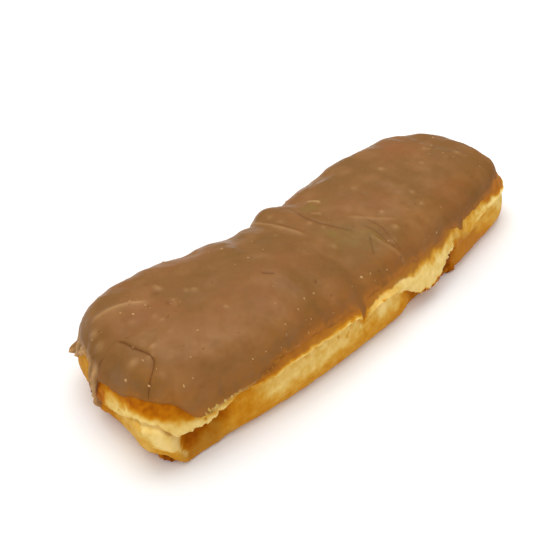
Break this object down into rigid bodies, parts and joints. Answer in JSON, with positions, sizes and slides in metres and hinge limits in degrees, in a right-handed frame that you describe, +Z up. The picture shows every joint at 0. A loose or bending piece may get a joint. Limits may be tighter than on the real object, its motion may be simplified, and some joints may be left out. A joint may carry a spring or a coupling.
{
  "type": "maple bar doughnut",
  "caption": "Long raised doughnut bar with a flat base, a torn pale front side and a skin of maple icing over its crown, for eating by hand.",
  "frame": {"origin": "on the surface it rests on, under the middle of the bar's box", "axes": "+X along the bar from its square near end to its round far end, +Y from its torn front side to its back, +Z up through the icing"},
  "size_m": [0.1694, 0.0582, 0.0263],
  "materials": {
    "fried_dough": null,
    "maple_icing": null
  },
  "bodies": {
    "root": {"dough_bar": "fried_dough", "maple_icing": "maple_icing"}
  },
  "joints": []
}
